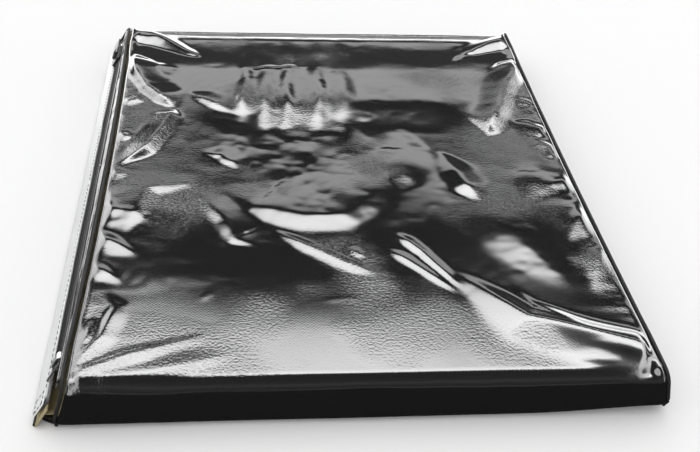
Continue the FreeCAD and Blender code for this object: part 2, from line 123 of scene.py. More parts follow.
def wire(source, target):
    """Joins an output socket to an input socket of the same tree."""
    target.id_data.links.new(source, target)


def set_ramp(node, stops):
    """Grey stops, each a position and a brightness."""
    ramp = node.color_ramp
    ramp.interpolation = "LINEAR"
    while len(ramp.elements) > 1:
        ramp.elements.remove(ramp.elements[-1])
    ramp.elements[0].position = stops[0][0]
    ramp.elements[0].color = (stops[0][1],) * 3 + (1.0,)
    for position, brightness in stops[1:]:
        ramp.elements.new(position).color = (brightness,) * 3 + (1.0,)


# brightness of the mirrored studio against the sine of its height above the horizon
AHEAD = [(0.0, 0.5), (0.10, 0.45), (0.17, 0.05), (0.22, 0.01), (0.38, 0.01), (0.40, 0.20), (0.50, 0.20),
         (0.515, 0.003), (0.642, 0.003), (0.658, 0.62), (0.72, 0.80), (0.79, 1.0), (0.83, 0.9), (0.87, 0.06),
         (0.93, 0.01), (1.0, 0.01)]
BEHIND_VIEW = [(0.0, 0.04), (0.2, 0.01), (0.5, 0.02), (0.62, 0.03), (0.8, 0.015), (1.0, 0.01)]
FLANK = [(0.40, 0.0), (0.45, 0.8), (0.60, 0.8), (0.66, 0.0)]
FLANK_GREY = (0.55, 0.55, 0.55, 1.0)
STUDIO_STRENGTH = 10.0
TENT_STRENGTH = 1.05
FLOOR_REACH = 6.0

world = bpy.data.worlds.new("studio")
world.use_nodes = True
world.cycles.sampling_method = "NONE"
bpy.context.scene.world = world
tree = world.node_tree
tree.nodes.clear()
direction = add_node(tree, "ShaderNodeTexCoord", (-1100, 0))
parts = add_node(tree, "ShaderNodeSeparateXYZ", (-900, 0), {0: direction.outputs["Generated"]})
ahead = add_node(tree, "ShaderNodeValToRGB", (-650, 200), {0: parts.outputs["Z"]})
set_ramp(ahead, AHEAD)
behind = add_node(tree, "ShaderNodeValToRGB", (-650, -100), {0: parts.outputs["Z"]})
set_ramp(behind, BEHIND_VIEW)
side = add_node(tree, "ShaderNodeMapRange", (-650, -350),
                {"From Min": -0.15, "From Max": 0.10, "Value": parts.outputs["Y"]})
mirrored = add_node(tree, "ShaderNodeMix", (-350, 100),
                    {0: side.outputs[0], 6: behind.outputs[0], 7: ahead.outputs[0]}, data_type="RGBA")
off_middle = add_node(tree, "ShaderNodeMath", (-850, -650),
                      {1: 0.12, 0: parts.outputs["X"]}, operation="SUBTRACT")
sideways = add_node(tree, "ShaderNodeMath", (-650, -650), {0: off_middle.outputs[0]}, operation="ABSOLUTE")
flank = add_node(tree, "ShaderNodeValToRGB", (-450, -650), {0: sideways.outputs[0]})
set_ramp(flank, FLANK)
flanked = add_node(tree, "ShaderNodeMix", (-220, 0),
                   {7: FLANK_GREY, 0: flank.outputs[0], 6: mirrored.outputs[2]}, data_type="RGBA")
studio = add_node(tree, "ShaderNodeBackground", (-100, 100),
                  {"Strength": STUDIO_STRENGTH, "Color": flanked.outputs[2]})
tent = add_node(tree, "ShaderNodeBackground", (-100, -100),
                {"Color": (1.0, 1.0, 1.0, 1.0), "Strength": TENT_STRENGTH})
rays = add_node(tree, "ShaderNodeLightPath", (-100, 400))
chosen = add_node(tree, "ShaderNodeMixShader", (150, 0),
                  {0: rays.outputs["Is Glossy Ray"], 1: tent.outputs[0], 2: studio.outputs[0]})
wire(chosen.outputs[0], add_node(tree, "ShaderNodeOutputWorld", (350, 0)).inputs[0])

floor_material = new_material("floor_white_glowing_in_gloss")
tree = floor_material.node_tree
plain = add_node(tree, "ShaderNodeBsdfPrincipled", (0, 200),
                 {"Base Color": (0.93, 0.93, 0.93, 1.0), "Roughness": 0.9, "Specular IOR Level": 0.1})
place = add_node(tree, "ShaderNodeTexCoord", (-900, -100))
parts = add_node(tree, "ShaderNodeSeparateXYZ", (-700, -100), {0: place.outputs["Object"]})
# The floor's glow in glossy rays, set by depth: a painted reflection, near black in front of the bag and
# bright from 0.2 m behind it. The camera sees the plain white floor.
floor_glow_by_depth = add_node(tree, "ShaderNodeMapRange", (-450, -100),
                {"From Min": 0.02, "From Max": 0.20, "To Min": 0.02, "To Max": 2.2,
                 "Value": parts.outputs["Y"]})
floor_glow_in_gloss = add_node(tree, "ShaderNodeEmission", (0, -100), {"Strength": floor_glow_by_depth.outputs[0]})
rays = add_node(tree, "ShaderNodeLightPath", (0, 500))
chosen = add_node(tree, "ShaderNodeMixShader", (250, 100),
                  {0: rays.outputs["Is Glossy Ray"], 1: plain.outputs[0], 2: floor_glow_in_gloss.outputs[0]})
end_material(chosen)

floor_mesh = bpy.data.meshes.new("floor")
floor_corners = FLOOR_REACH * np.array([(-1, -1, 0), (1, -1, 0), (1, 1, 0), (-1, 1, 0)])
floor_mesh.from_pydata(floor_corners.tolist(), [], [(0, 1, 2, 3)])
floor = bpy.data.objects.new("floor", floor_mesh)
bpy.context.scene.collection.objects.link(floor)
floor_mesh.materials.append(floor_material)


# ---------------------------------------------------------------- cover
# The outer cover is one sheet of woven glass cloth with a glossy black coating, backed with padding. It wraps
# the front wall, the top and the back wall, and turns in under the bag. Sewing pulled its corners into folds.

MM = 0.001
wrap_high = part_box("outer_cover")[1]
floor_low, floor_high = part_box("bottom_panel")
TALL = wrap_high.z / MM
HALF_DEEP = wrap_high.y / MM
HALF_WIDE = floor_high.x / MM
SEAM_INSET = 2.2
LEAN_ZIP = math.radians(31)
LEAN_END = math.radians(10)
TOP_MIDDLE = TALL * (math.tan(LEAN_ZIP) - math.tan(LEAN_END)) / 2
ROLL_TOP = 6.0
ROLL_BASE = 5.0
RETURN = 12.0
PADDED = 2.9
BOW_LEFT, BOW_RIGHT = 1.8, 1.2
FOOT_DRAWN_IN = 7.0
CORNER_RAISED = 3.0
TOP_STEP, WALL_STEP = 1.2, 1.6
COVER_COLUMNS = 196
CROWDING = 0.11


def smooth_step(t):
    """0 below 0, 1 above 1, and an even S between them."""
    t = np.clip(t, 0.0, 1.0)
    return t * t * (3.0 - 2.0 * t)


def lattice_noise(x, y, cell, seed):
    """Random heights on a square lattice of one cell size, joined smoothly. It runs from -1 to 1."""
    table = np.random.default_rng(seed).uniform(-1.0, 1.0, (64, 64))
    gx, gy = x / cell, y / cell
    ix, iy = np.floor(gx).astype(int), np.floor(gy).astype(int)
    fx, fy = smooth_step(gx - ix), smooth_step(gy - iy)
    near = table[ix % 64, iy % 64] * (1 - fx) + table[(ix + 1) % 64, iy % 64] * fx
    far = table[ix % 64, (iy + 1) % 64] * (1 - fx) + table[(ix + 1) % 64, (iy + 1) % 64] * fx
    return near * (1 - fy) + far * fy


def seam_bow(y, side):
    """How far a side seam pulls inward, in mm: a little along its middle, none at the corners."""
    return (BOW_LEFT if side < 0 else BOW_RIGHT) * np.clip(1.0 - (y / 128.0) ** 2, 0.0, 1.0) ** 0.8


def wall_x(z, depth, y, side):
    """X of an end wall's slanting face at a height, a depth inside it, in mm. The bow grows with the height.
    The seam's foot at the zip's front end is drawn in."""
    lean = LEAN_ZIP if side < 0 else LEAN_END
    bow = seam_bow(y, side) * smooth_step(z / TALL)
    if side < 0:
        near_foot = np.clip(1.0 - z / TALL, 0.0, 1.0) ** 0.8
        bow = bow + FOOT_DRAWN_IN * smooth_step((-y - 145.0) / 7.0) * near_foot
    return side * (HALF_WIDE - z * math.tan(lean) - depth / math.cos(lean) - bow)


def corner_lift(x, y):
    """How far the padded front right corner stands off the ground, in mm."""
    return CORNER_RAISED * smooth_step((x - 45.0) / 75.0) ** 2 * smooth_step((-y - 118.0) / 32.0)


def fold(x, y, path, height, left, right, rise, fall, soft):
    """A fold of the cloth: a crest along a path of points, with a face this wide on each side of the walk.
    With u as distance over width, sqrt(u^2 + soft^2) rounds the crest and a soft ramp rounds the feet.
    The height rises over the path's first part and falls over its last part."""
    points = np.array(path, float)
    spans = np.diff(points, axis=0)
    lengths = np.hypot(spans[:, 0], spans[:, 1])
    starts = np.concatenate([[0.0], np.cumsum(lengths)])
    best = np.full(x.shape, 1e9)
    signed = np.zeros(x.shape)
    along = np.zeros(x.shape)
    for (px, py), (sx, sy), length, start in zip(points[:-1], spans, lengths, starts[:-1]):
        t = np.clip(((x - px) * sx + (y - py) * sy) / length ** 2, 0.0, 1.0)
        dx, dy = x - px - t * sx, y - py - t * sy
        distance = np.hypot(dx, dy)
        nearer = distance < best
        best = np.where(nearer, distance, best)
        signed = np.where(nearer, np.sign(sx * dy - sy * dx) * distance, signed)
        along = np.where(nearer, (start + t * length) / starts[-1], along)
    taper = smooth_step(along / rise) * smooth_step((1.0 - along) / fall)
    width = np.where(signed > 0, left, right) * (0.35 + 0.65 * taper)
    u = np.sqrt((signed / np.maximum(width, 0.1)) ** 2 + soft ** 2) - soft
    return height * taper * np.logaddexp(0.0, 9.0 * (1.0 - u)) / 9.0


# Crest points, height, and the widths of the faces on the walk's left and right, in mm. Then the shares of
# the path over which the height rises and falls, and the crest's softness as a share of the width.
FOLDS = [
    # back left corner
    ([(-121, 147), (-101, 143), (-81, 121), (-56, 98)], 2.8, 7, 24, 0.08, 0.35, 0.12),
    ([(-119, 118), (-99, 112), (-75, 101), (-56, 95)], -3.6, 24, 7, 0.08, 0.3, 0.1),
    ([(-119, 120), (-108, 98), (-98, 72), (-82, 50)], 2.4, 13, 5, 0.1, 0.2, 0.1),
    ([(-82, 51), (-87, 31), (-95, 10), (-108, -5)], 2.2, 5, 9, 0.15, 0.35, 0.15),
    ([(-78, 70), (-66, 60), (-53, 48)], 0.7, 7, 4, 0.4, 0.4, 0.2),
    ([(-112, 56), (-104, 60), (-97, 58)], 0.9, 5, 4, 0.3, 0.4, 0.2),
    ([(-113, 26), (-106, 22), (-100, 22)], 0.9, 5, 4, 0.3, 0.4, 0.2),
    ([(-97, 104), (-92, 95), (-88, 82)], 0.6, 6, 6, 0.3, 0.5, 0.2),
    # back right corner
    ([(115, 146), (93, 127), (73, 110)], 2.8, 20, 9, 0.08, 0.35, 0.12),
    ([(116, 115), (95, 110), (75, 107)], -4.4, 7, 20, 0.08, 0.3, 0.1),
    ([(115, 110), (98, 78), (89, 52), (74, 17)], 3.4, 9, 12, 0.08, 0.3, 0.1),
    ([(116, 114), (104, 105), (90, 92)], 1.4, 5, 4, 0.15, 0.5, 0.1),
    ([(94, 67), (104, 61), (113, 58)], 0.9, 6, 10, 0.5, 0.2, 0.15),
    ([(91, 40), (101, 36), (113, 30)], 1.0, 5, 11, 0.5, 0.2, 0.15),
    ([(97, 25), (107, 14), (113, 2)], 0.8, 4, 8, 0.5, 0.2, 0.15),
    # front right corner
    ([(115, -139), (93, -131), (66, -119), (50, -98), (36, -84)], 2.6, 16, 9, 0.08, 0.6, 0.08),
    ([(112, -134), (88, -126), (70, -110), (62, -96)], 1.6, 10, 5, 0.12, 0.6, 0.1),
    ([(114, -144), (99, -138), (84, -134)], 1.3, 5, 5, 0.15, 0.6, 0.12),
    ([(113, -147), (92, -144), (70, -142)], 0.9, 4, 6, 0.15, 0.6, 0.15),
    # front left corner
    ([(-114, -147), (-92, -136), (-60, -124)], 1.0, 3, 11, 0.08, 0.6, 0.08),
    ([(-113, -143), (-102, -126), (-98, -108), (-104, -98)], 0.7, 3, 5, 0.12, 0.4, 0.12),
    ([(-113, -139), (-107, -126), (-106, -112)], 0.5, 3, 4, 0.2, 0.4, 0.12),
    ([(-109, -149), (-82, -145), (-50, -136)], 0.7, 10, 6, 0.2, 0.5, 0.15),
    # buckles in the middle
    ([(31, 40), (34, 14), (28, -10), (10, -36)], 1.6, 10, 12, 0.55, 0.6, 0.6),
    ([(51, 16), (55, -8), (62, -36)], 1.7, 9, 6, 0.5, 0.3, 0.2),
    ([(-3, -8), (-1, -26), (2, -40)], 1.0, 5, 6, 0.5, 0.4, 0.3),
    ([(98, 12), (96, -12), (86, -40)], 1.3, 10, 9, 0.6, 0.5, 0.5),
    # the long hollow from the back right corner
    ([(73, 104), (68, 74), (62, 48), (64, 22)], -1.5, 3, 3, 0.15, 0.3, 0.15),
    ([(70, 46), (58, 26), (42, 22)], -2.2, 18, 12, 0.3, 0.4, 0.3),
    # ridges over the left middle
    ([(-60, -20), (-42, -36), (-20, -44), (-3, -44), (12, -28), (29, 10)], 1.35, 30, 11, 0.35, 0.3, 0.2),
    ([(-100, -60), (-92, -24), (-82, -22), (-64, -15)], 1.0, 14, 6, 0.3, 0.5, 0.12),
    ([(-70, -22), (-56, -48), (-52, -62), (-37, -69)], 0.9, 14, 5, 0.4, 0.5, 0.12),
    ([(-69, 10), (-58, 7), (-47, -7)], 0.6, 8, 4, 0.4, 0.4, 0.12),
    # fine sharp creases
    ([(-38, -52), (-20, -67), (-4, -80), (9, -89)], 0.75, 2.5, 5, 0.4, 0.2, 0.06),
    ([(-2, -68), (4, -77)], 0.35, 2, 3, 0.4, 0.3, 0.1),
    ([(19, -58), (29, -73), (44, -102)], 0.7, 4, 2.5, 0.2, 0.4, 0.06),
    ([(14, -70), (27, -85), (42, -104)], 0.45, 4, 2, 0.2, 0.4, 0.06),
    ([(62, -36), (76, -70), (92, -104)], 0.55, 12, 16, 0.4, 0.6, 0.2),
    ([(-66, -105), (-60, -98)], 0.05, 1.6, 2.5, 0.4, 0.3, 0.1),
    ([(-18, -106), (-8, -104), (2, -105)], 0.035, 1.4, 2.5, 0.3, 0.3, 0.1),
    ([(-51, 96), (-30, 98), (-9, 100)], 0.35, 2.5, 3, 0.3, 0.3, 0.1),
    # puckers along the left seam
    ([(-115, -36), (-100, -42), (-86, -50)], 0.8, 4, 9, 0.15, 0.6, 0.12),
    ([(-115, -56), (-102, -66), (-90, -76)], 0.8, 4, 9, 0.15, 0.6, 0.12),
    ([(-115, -78), (-106, -84), (-96, -94)], 0.6, 3, 7, 0.15, 0.6, 0.12),
    ([(-115, -6), (-106, -11), (-96, -14)], 0.6, 4, 7, 0.15, 0.6, 0.12),
    # puckers along the right seam
    ([(114, -16), (102, -20), (90, -32)], 0.8, 9, 5, 0.2, 0.6, 0.12),
    ([(114, -40), (106, -50), (96, -70)], 0.9, 10, 5, 0.2, 0.6, 0.12),
    ([(114, -70), (106, -82), (98, -104)], 0.8, 10, 5, 0.2, 0.6, 0.12),
]


# the pleats behind the middle: x, half width, and the y where each runs out, in mm
FLUTES = [(-37, 5.0, 22), (-25, 4.0, 24), (-8, 4.4, 20), (5, 6.5, 2), (-48, 3.5, 40)]


def top_relief(x_at, y):
    """Height of the cloth over the flat top, in mm: broad slopes, folds, seam puckers and crumple."""
    x = x_at - TOP_MIDDLE
    broad = 1.2 * np.exp(-((x - 66) / 48) ** 2 - ((y + 40) / 40) ** 2)
    broad -= 2.0 * smooth_step((y - 94.0) / 42.0)
    broad -= 2.0 * smooth_step((y - 136.0) / 16.0)
    broad -= 0.22 * lattice_noise(x, y, 58.0, 3)
    flutes = np.zeros(x.shape)
    for middle, half_wide, low_end in FLUTES:
        bent = x - middle - 0.05 * (y - 45.0) - 0.8 * np.sin(y / 7.0 + middle)
        flutes += np.exp(-(bent / half_wide) ** 2) * smooth_step((y - low_end) / (66.0 - low_end))
    sunk = smooth_step((64.0 - y) / 36.0) * smooth_step((y + 125.0) / 120.0)
    sunk = sunk * smooth_step((90 - np.abs(x)) / 45)
    broad -= 2.1 * sunk
    broad += 1.5 * flutes * smooth_step((150.0 - y) / 86.0)
    broad -= 3.2 * np.exp(-((x - 116) / 15) ** 2 - ((y + 151) / 9) ** 2)
    folds = np.zeros(x.shape)
    for path, height, left, right, rise, fall, soft in FOLDS:
        shape = fold(x, y, path, height, left, right, rise, fall, soft)
        folds = np.where(shape >= 0, np.maximum(folds, shape) + 0.3 * np.minimum(folds, shape), folds + shape)
    calm = 1.0 - smooth_step((-y - 88.0) / 14.0)
    rough = 0.25 + 0.75 * smooth_step((60 - np.abs(x + 20)) / 70) * smooth_step((60 - np.abs(y - 10)) / 40)
    crumple = 0.26 * np.abs(lattice_noise(x + 0.3 * y, y - 0.2 * x, 15.0, 11))
    crumple += 0.16 * np.abs(lattice_noise(x - 0.4 * y, y + 0.3 * x, 7.0, 12))
    crumple += 0.03 * lattice_noise(x, y, 2.6, 13)
    near = np.minimum(x_at - wall_x(TALL, SEAM_INSET, y, -1), wall_x(TALL, SEAM_INSET, y, 1) - x_at)
    pull = np.exp(-np.maximum(near, 0.0) / 7.0)
    puckers = pull * (0.4 * lattice_noise(0.15 * x, y, 7.0, 21) + 0.15 * lattice_noise(0.2 * x, y, 3.6, 22))
    return broad + folds + calm * rough * crumple + 0.10 * lattice_noise(x, y, 30.0, 14) + puckers


def wrap_path(step_top, step_wall):
    """Y, Z and outward normal along the wrap, from the front turn-in round to the back turn-in, in mm."""
    rows = []
    ends = np.array([[-(HALF_DEEP - RETURN), 0.0], [-(HALF_DEEP - ROLL_BASE), 0.0]])
    count = int(np.ceil((ends[0, 0] - ends[1, 0]) / step_wall))
    y = np.linspace(ends[0, 0], ends[1, 0], count, endpoint=False)
    rows.append(np.stack([y, 0 * y, 0 * y, 0 * y - 1], 1))
    turn = np.linspace(-90, -180, 7, endpoint=False)
    rows.append(round_corner(turn, -(HALF_DEEP - ROLL_BASE), ROLL_BASE, ROLL_BASE))
    count = int((TALL - ROLL_TOP - ROLL_BASE) / step_wall)
    z = np.linspace(ROLL_BASE, TALL - ROLL_TOP, count, endpoint=False)
    rows.append(np.stack([0 * z - HALF_DEEP, z, 0 * z - 1, 0 * z], 1))
    turn = np.linspace(180, 90, 12, endpoint=False)
    rows.append(round_corner(turn, -(HALF_DEEP - ROLL_TOP), TALL - ROLL_TOP, ROLL_TOP))
    half = np.concatenate(rows)
    span = HALF_DEEP - ROLL_TOP
    y = np.linspace(-span, span, int(2 * span / step_top) + 1)
    top = np.stack([y, 0 * y + TALL, 0 * y, 0 * y + 1], 1)
    return np.concatenate([half, top, half[::-1] * [-1, 1, -1, 1]])


def wrap_grid(path, across):
    """Y, Z and normal of the wrap's path over a grid, then the length along it and the seams' X, in mm."""
    length = np.concatenate([[0], np.cumsum(np.hypot(*np.diff(path[:, :2], axis=0).T))])
    grids = [np.repeat(column[:, None], len(across), 1) for column in (*path.T, length)]
    y, z = grids[:2]
    return *grids, wall_x(z, SEAM_INSET, y, -1), wall_x(z, SEAM_INSET, y, 1)


def round_corner(degrees, centre_y, centre_z, radius):
    """A stretch of arc about a centre, with its outward normal."""
    a = np.radians(degrees)
    return np.stack([centre_y + radius * np.cos(a), centre_z + radius * np.sin(a), np.cos(a), np.sin(a)], 1)


def mesh_object(name, points, faces, material):
    """An object in the scene from points in mm and faces, smooth, with one material."""
    mesh = bpy.data.meshes.new(name)
    mesh.from_pydata((points * MM).tolist(), [], faces)
    mesh.polygons.foreach_set("use_smooth", np.ones(len(faces), bool))
    mesh.materials.append(material)
    made = bpy.data.objects.new(name, mesh)
    bpy.context.scene.collection.objects.link(made)
    return made


def write_uv(made, corners):
    """The cloth's UV of every face corner, in mm."""
    layer = made.data.uv_layers.new(name="cloth")
    layer.data.foreach_set("uv", (corners * MM).astype(np.float32).ravel())


def grid_faces(rows, columns, first, flip):
    """Quads of a grid of points, row by row, counted from the first point's number."""
    r, c = np.meshgrid(np.arange(rows - 1), np.arange(columns - 1), indexing="ij")
    corner = first + (r * columns + c).ravel()
    quads = np.stack([corner, corner + 1, corner + columns + 1, corner + columns], 1)
    return quads[:, ::-1] if flip else quads


def shell(name, outer, inner, uv, material, flip=False):
    """A closed skin of two matching grids of points, in mm, joined round their rim, with the cloth's UV."""
    rows, columns = outer.shape[:2]
    count = rows * columns
    points = np.concatenate([outer.reshape(-1, 3), inner.reshape(-1, 3)])
    front = grid_faces(rows, columns, 0, flip)
    rear = grid_faces(rows, columns, count, not flip)
    index = np.arange(count).reshape(rows, columns)
    rim = np.concatenate([index[0, :-1], index[:-1, -1], index[-1, :0:-1], index[:0:-1, 0]])
    following = np.roll(rim, -1)
    band = np.stack([rim, rim + count, following + count, following], 1)
    band = band[:, ::-1] if flip else band
    faces = np.concatenate([front, rear, band])
    made = mesh_object(name, points, faces.tolist(), material)
    write_uv(made, np.tile(uv.reshape(-1, 2), (2, 1))[faces.ravel()])
    return made


def weave_group():
    """Plain weave: the product of two sine waves across the threads, plus the coating's fine grain, plus a
    crinkle that is strong in patches where the cloth was handled."""
    group = bpy.data.node_groups.new("woven_relief", "ShaderNodeTree")
    group.interface.new_socket("Cloth", in_out="INPUT", socket_type="NodeSocketVector")
    for title, way in (("Threads", "INPUT"), ("Grain", "INPUT"), ("Height", "OUTPUT"), ("Speckle", "OUTPUT")):
        group.interface.new_socket(title, in_out=way, socket_type="NodeSocketFloat")
    start = add_node(group, "NodeGroupInput", (-900, 0))
    parts = add_node(group, "ShaderNodeSeparateXYZ", (-650, 100), {0: start.outputs["Cloth"]})
    waves = []
    for axis in ("X", "Y"):
        scaled = add_node(group, "ShaderNodeMath", (-450, 100),
                          {0: parts.outputs[axis], 1: start.outputs["Threads"]}, operation="MULTIPLY")
        waves.append(add_node(group, "ShaderNodeMath", (-250, 100),
                              {0: scaled.outputs[0]}, operation="SINE"))
    weave = add_node(group, "ShaderNodeMath", (-50, 100),
                     {0: waves[0].outputs[0], 1: waves[1].outputs[0]}, operation="MULTIPLY")
    grain = add_node(group, "ShaderNodeTexNoise", (-450, -200),
                     {"Detail": 5.0, "Roughness": 0.65, "Vector": start.outputs["Cloth"],
                      "Scale": start.outputs["Grain"]})
    both = add_node(group, "ShaderNodeMath", (300, 0),
                    {1: 0.16, 0: weave.outputs[0], 2: grain.outputs["Fac"]}, operation="MULTIPLY_ADD")
    crinkle = add_node(group, "ShaderNodeTexNoise", (-450, -500),
                       {"Scale": 850.0, "Detail": 4.0, "Vector": start.outputs["Cloth"]})
    patches = add_node(group, "ShaderNodeTexNoise", (-450, -800),
                       {"Scale": 16.0, "Detail": 2.0, "Vector": start.outputs["Cloth"]})
    handled = add_node(group, "ShaderNodeMapRange", (-200, -800),
                       {"From Min": 0.46, "From Max": 0.62, "To Min": 0.4, "To Max": 11.0,
                        "Value": patches.outputs["Fac"]})
    all_three = add_node(group, "ShaderNodeMath", (500, 0),
                         {0: crinkle.outputs["Fac"], 1: handled.outputs[0], 2: both.outputs[0]},
                         operation="MULTIPLY_ADD")
    add_node(group, "NodeGroupOutput", (700, 0),
             {"Height": all_three.outputs[0], "Speckle": grain.outputs["Fac"]})
    return group


woven_relief = weave_group()


def coated_cloth(name, colour, tint, roughness, threads, grain, relief, specular):
    """Coated woven cloth: two close colours mottled by the grain, and weave and grain as relief."""
    material = new_material(name)
    tree = material.node_tree
    shader = add_node(tree, "ShaderNodeBsdfPrincipled", (300, 0), {"Specular IOR Level": specular})
    cloth = add_node(tree, "ShaderNodeUVMap", (-900, 0), uv_map="cloth")
    relief_node = add_node(tree, "ShaderNodeGroup", (-650, 0),
                           {"Threads": threads, "Grain": grain, "Cloth": cloth.outputs[0]},
                            node_tree=woven_relief)
    mottle = add_node(tree, "ShaderNodeMix", (-300, 200),
                      {6: (*colour, 1.0), 7: (*tint, 1.0), 0: relief_node.outputs["Speckle"]},
                       data_type="RGBA")
    wire(mottle.outputs[2], shader.inputs["Base Color"])
    worn = add_node(tree, "ShaderNodeMapRange", (-300, -50),
                    {"To Min": roughness * 0.7, "To Max": roughness * 1.5,
                     "Value": relief_node.outputs["Speckle"]})
    wire(worn.outputs[0], shader.inputs["Roughness"])
    bump = add_node(tree, "ShaderNodeBump", (-50, -250),
                    {"Strength": 1.0, "Distance": relief, "Height": relief_node.outputs["Height"]})
    wire(bump.outputs[0], shader.inputs["Normal"])
    end_material(shader)
    return material


black_cloth = coated_cloth("black_coated_cloth", (0.004, 0.004, 0.0045), (0.013, 0.013, 0.0135), 0.075,
                           4200.0, 950.0, 0.000012, 1.0)


def make_cover():
    """The wrap's path carried from seam to seam, raised by the relief along its own normal."""
    path = wrap_path(TOP_STEP, WALL_STEP)
    across = np.linspace(0.0, 1.0, COVER_COLUMNS)
    across = across - CROWDING * np.sin(2 * np.pi * across) / (2 * np.pi)
    y, z, ny, nz, s, left, right = wrap_grid(path, across)
    x = left + (right - left) * across[None, :]
    raised = top_relief(x, y) * smooth_step((z - (TALL - ROLL_TOP)) / ROLL_TOP) ** 1.5
    inboard = np.minimum(x - left, right - x)
    raised = raised * smooth_step(inboard / 5.0) - 0.35 * (1 - smooth_step(inboard / 2.5))
    wave = 0.35 * lattice_noise(x, z * 2.0, 26.0, 31) + 0.12 * lattice_noise(x, z, 9.0, 32)
    raised = raised + wave * smooth_step(z / 6.0) * smooth_step((TALL - z) / 6.0) * smooth_step(inboard / 8)
    z = z + corner_lift(x, y) * (1.0 - z / TALL)
    outer = np.stack([x, y + ny * raised, z + nz * raised], 2)
    inner = np.stack([x, y - ny * PADDED, z - nz * PADDED], 2)
    return shell("cover", outer, inner, np.stack([x, s], 2), black_cloth)


cover = make_cover()
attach(cover, "bag")
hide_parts("outer_cover", "cover_padding")


# ---------------------------------------------------------------- piping
# A cord in a bias strip of black cloth, sewn into both end seams. It stands along the front edge, over the
# top with the seam's bow, and down the back edge.

PIPE = 0.75
PIPE_INSET = 1.1
PIPE_BEND = 4.9


def tube(name, path, radius, sides, material, lift=(0.0, 0.0, 1.0)):
    """Rings of one radius round a path in mm, turned square to it, with a closed cap at each end."""
    path = np.asarray(path, float)
    along = np.gradient(path, axis=0)
    along /= np.linalg.norm(along, axis=1)[:, None]
    lift = np.broadcast_to(np.asarray(lift, float), path.shape)
    aside = np.cross(along, lift)
    aside /= np.linalg.norm(aside, axis=1)[:, None]
    over = np.cross(aside, along)
    turn = np.linspace(0, 2 * np.pi, sides, endpoint=False)
    radius = np.broadcast_to(np.asarray(radius, float), len(path))[:, None, None]
    rings = path[:, None, :] + radius * (np.cos(turn)[None, :, None] * aside[:, None, :]
                                         + np.sin(turn)[None, :, None] * over[:, None, :])
    count, index = len(path), np.arange(len(path) * sides).reshape(len(path), sides)
    following = np.roll(index, -1, axis=1)
    quads = np.stack([index[:-1], following[:-1], following[1:], index[1:]], 2).reshape(-1, 4)
    caps = [index[0, ::-1].tolist(), index[-1].tolist()]
    made = mesh_object(name, rings.reshape(-1, 3), quads.tolist() + caps, material)
    length = np.concatenate([[0], np.cumsum(np.linalg.norm(np.diff(path, axis=0), axis=1))])
    u = np.linspace(0, 2 * np.pi, sides + 1) * float(radius.max())
    run = np.stack([np.broadcast_to(u[None, :], (count, sides + 1)),
                    np.broadcast_to(length[:, None], (count, sides + 1))], 2)
    patches = np.stack([run[:-1, :-1], run[:-1, 1:], run[1:, 1:], run[1:, :-1]], 2).reshape(-1, 2)
    write_uv(made, np.concatenate([patches, np.zeros((2 * sides, 2))]))
    made.data.set_sharp_from_angle(angle=math.radians(60))
    return made


def pipe_path(side):
    """Up the front edge, round a bend, back along the top and down again, in the end wall's slanting face."""
    reach = HALF_DEEP - PIPE_INSET
    high = TALL - PIPE_INSET
    low = 1.15
    z = np.linspace(low, high - PIPE_BEND, 9, endpoint=False)
    up = np.stack([0 * z - reach, z], 1)
    turn = np.radians(np.linspace(180, 90, 9, endpoint=False))
    bend = np.stack([PIPE_BEND - reach + PIPE_BEND * np.cos(turn),
                     high - PIPE_BEND + PIPE_BEND * np.sin(turn)], 1)
    y = np.linspace(-(reach - PIPE_BEND), reach - PIPE_BEND, 190)
    top = np.stack([y, 0 * y + high + 0.12 * lattice_noise(y, 0 * y, 9.0, 41 + side)], 1)
    half = np.concatenate([up, bend])
    line = np.concatenate([half, top, half[::-1] * [-1, 1]])
    x = wall_x(line[:, 1], PIPE_INSET, line[:, 0], side)
    tucked = smooth_step((5.0 - line[:, 1]) / 4.0)
    line[:, 1] += corner_lift(x, line[:, 0]) * (1.0 - line[:, 1] / TALL)
    return np.stack([x - side * 1.6 * tucked, line[:, 0] - 0.8 * tucked * np.sign(line[:, 0]), line[:, 1]], 1)


piping_cloth = coated_cloth("piping_cloth", (0.010, 0.010, 0.010), (0.03, 0.03, 0.029), 0.6,
                            5200.0, 1400.0, 0.00004, 0.15)
for side, name in ((-1, "left_piping"), (1, "right_piping")):
    cord = tube(name + "_cord", pipe_path(side), PIPE, 12, piping_cloth)
    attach(cord, "bag")
    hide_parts(name)


# ---------------------------------------------------------------- right end wall
# The closed end: a padded panel of the same black cloth, cut to the wall's height. Its rounded top corners
# lie inside the piping and its foot is sewn to the bottom panel's edge.

PANEL_END = 150.6


def wall_panel():
    """The slanting plane between the piping and the foot, swollen a little between its sewn edges."""
    y = np.linspace(-PANEL_END, PANEL_END, 190)
    t = np.linspace(0.0, 1.0, 18)
    y, t = np.meshgrid(y, t, indexing="ij")
    corner = HALF_DEEP - ROLL_TOP
    drop = np.clip(np.abs(y) - corner, 0.0, ROLL_TOP - 1.0)
    top = TALL - 2.2 - (ROLL_TOP - 2.2 - np.sqrt(np.maximum((ROLL_TOP - 2.2) ** 2 - drop ** 2, 0.0)))
    z = top + (0.9 - top) * t
    edge = np.minimum(1.0, 6.0 * np.minimum(t, 1 - t)) * smooth_step((PANEL_END - np.abs(y)) / 5)
    bulge = edge * (-0.35 + 0.5 * lattice_noise(y, z, 24.0, 51) + 0.25 * lattice_noise(y, z, 8.0, 52))
    pucker = np.exp(-t * 5.0) * 0.3 * lattice_noise(y, z * 0.2, 4.0, 53) * edge
    lean = np.array([math.cos(LEAN_END), 0.0, math.sin(LEAN_END)])
    z = z + corner_lift(HALF_WIDE, y) * (1.0 - z / TALL)
    outer = np.stack([wall_x(z, 0.25, y, 1), y, z], 2) + (np.minimum(bulge + pucker, 0.0))[..., None] * lean
    inner = np.stack([wall_x(z, PADDED, y, 1), y, z], 2)
    return shell("right_end_panel", outer, inner, np.stack([y, z], 2), black_cloth)


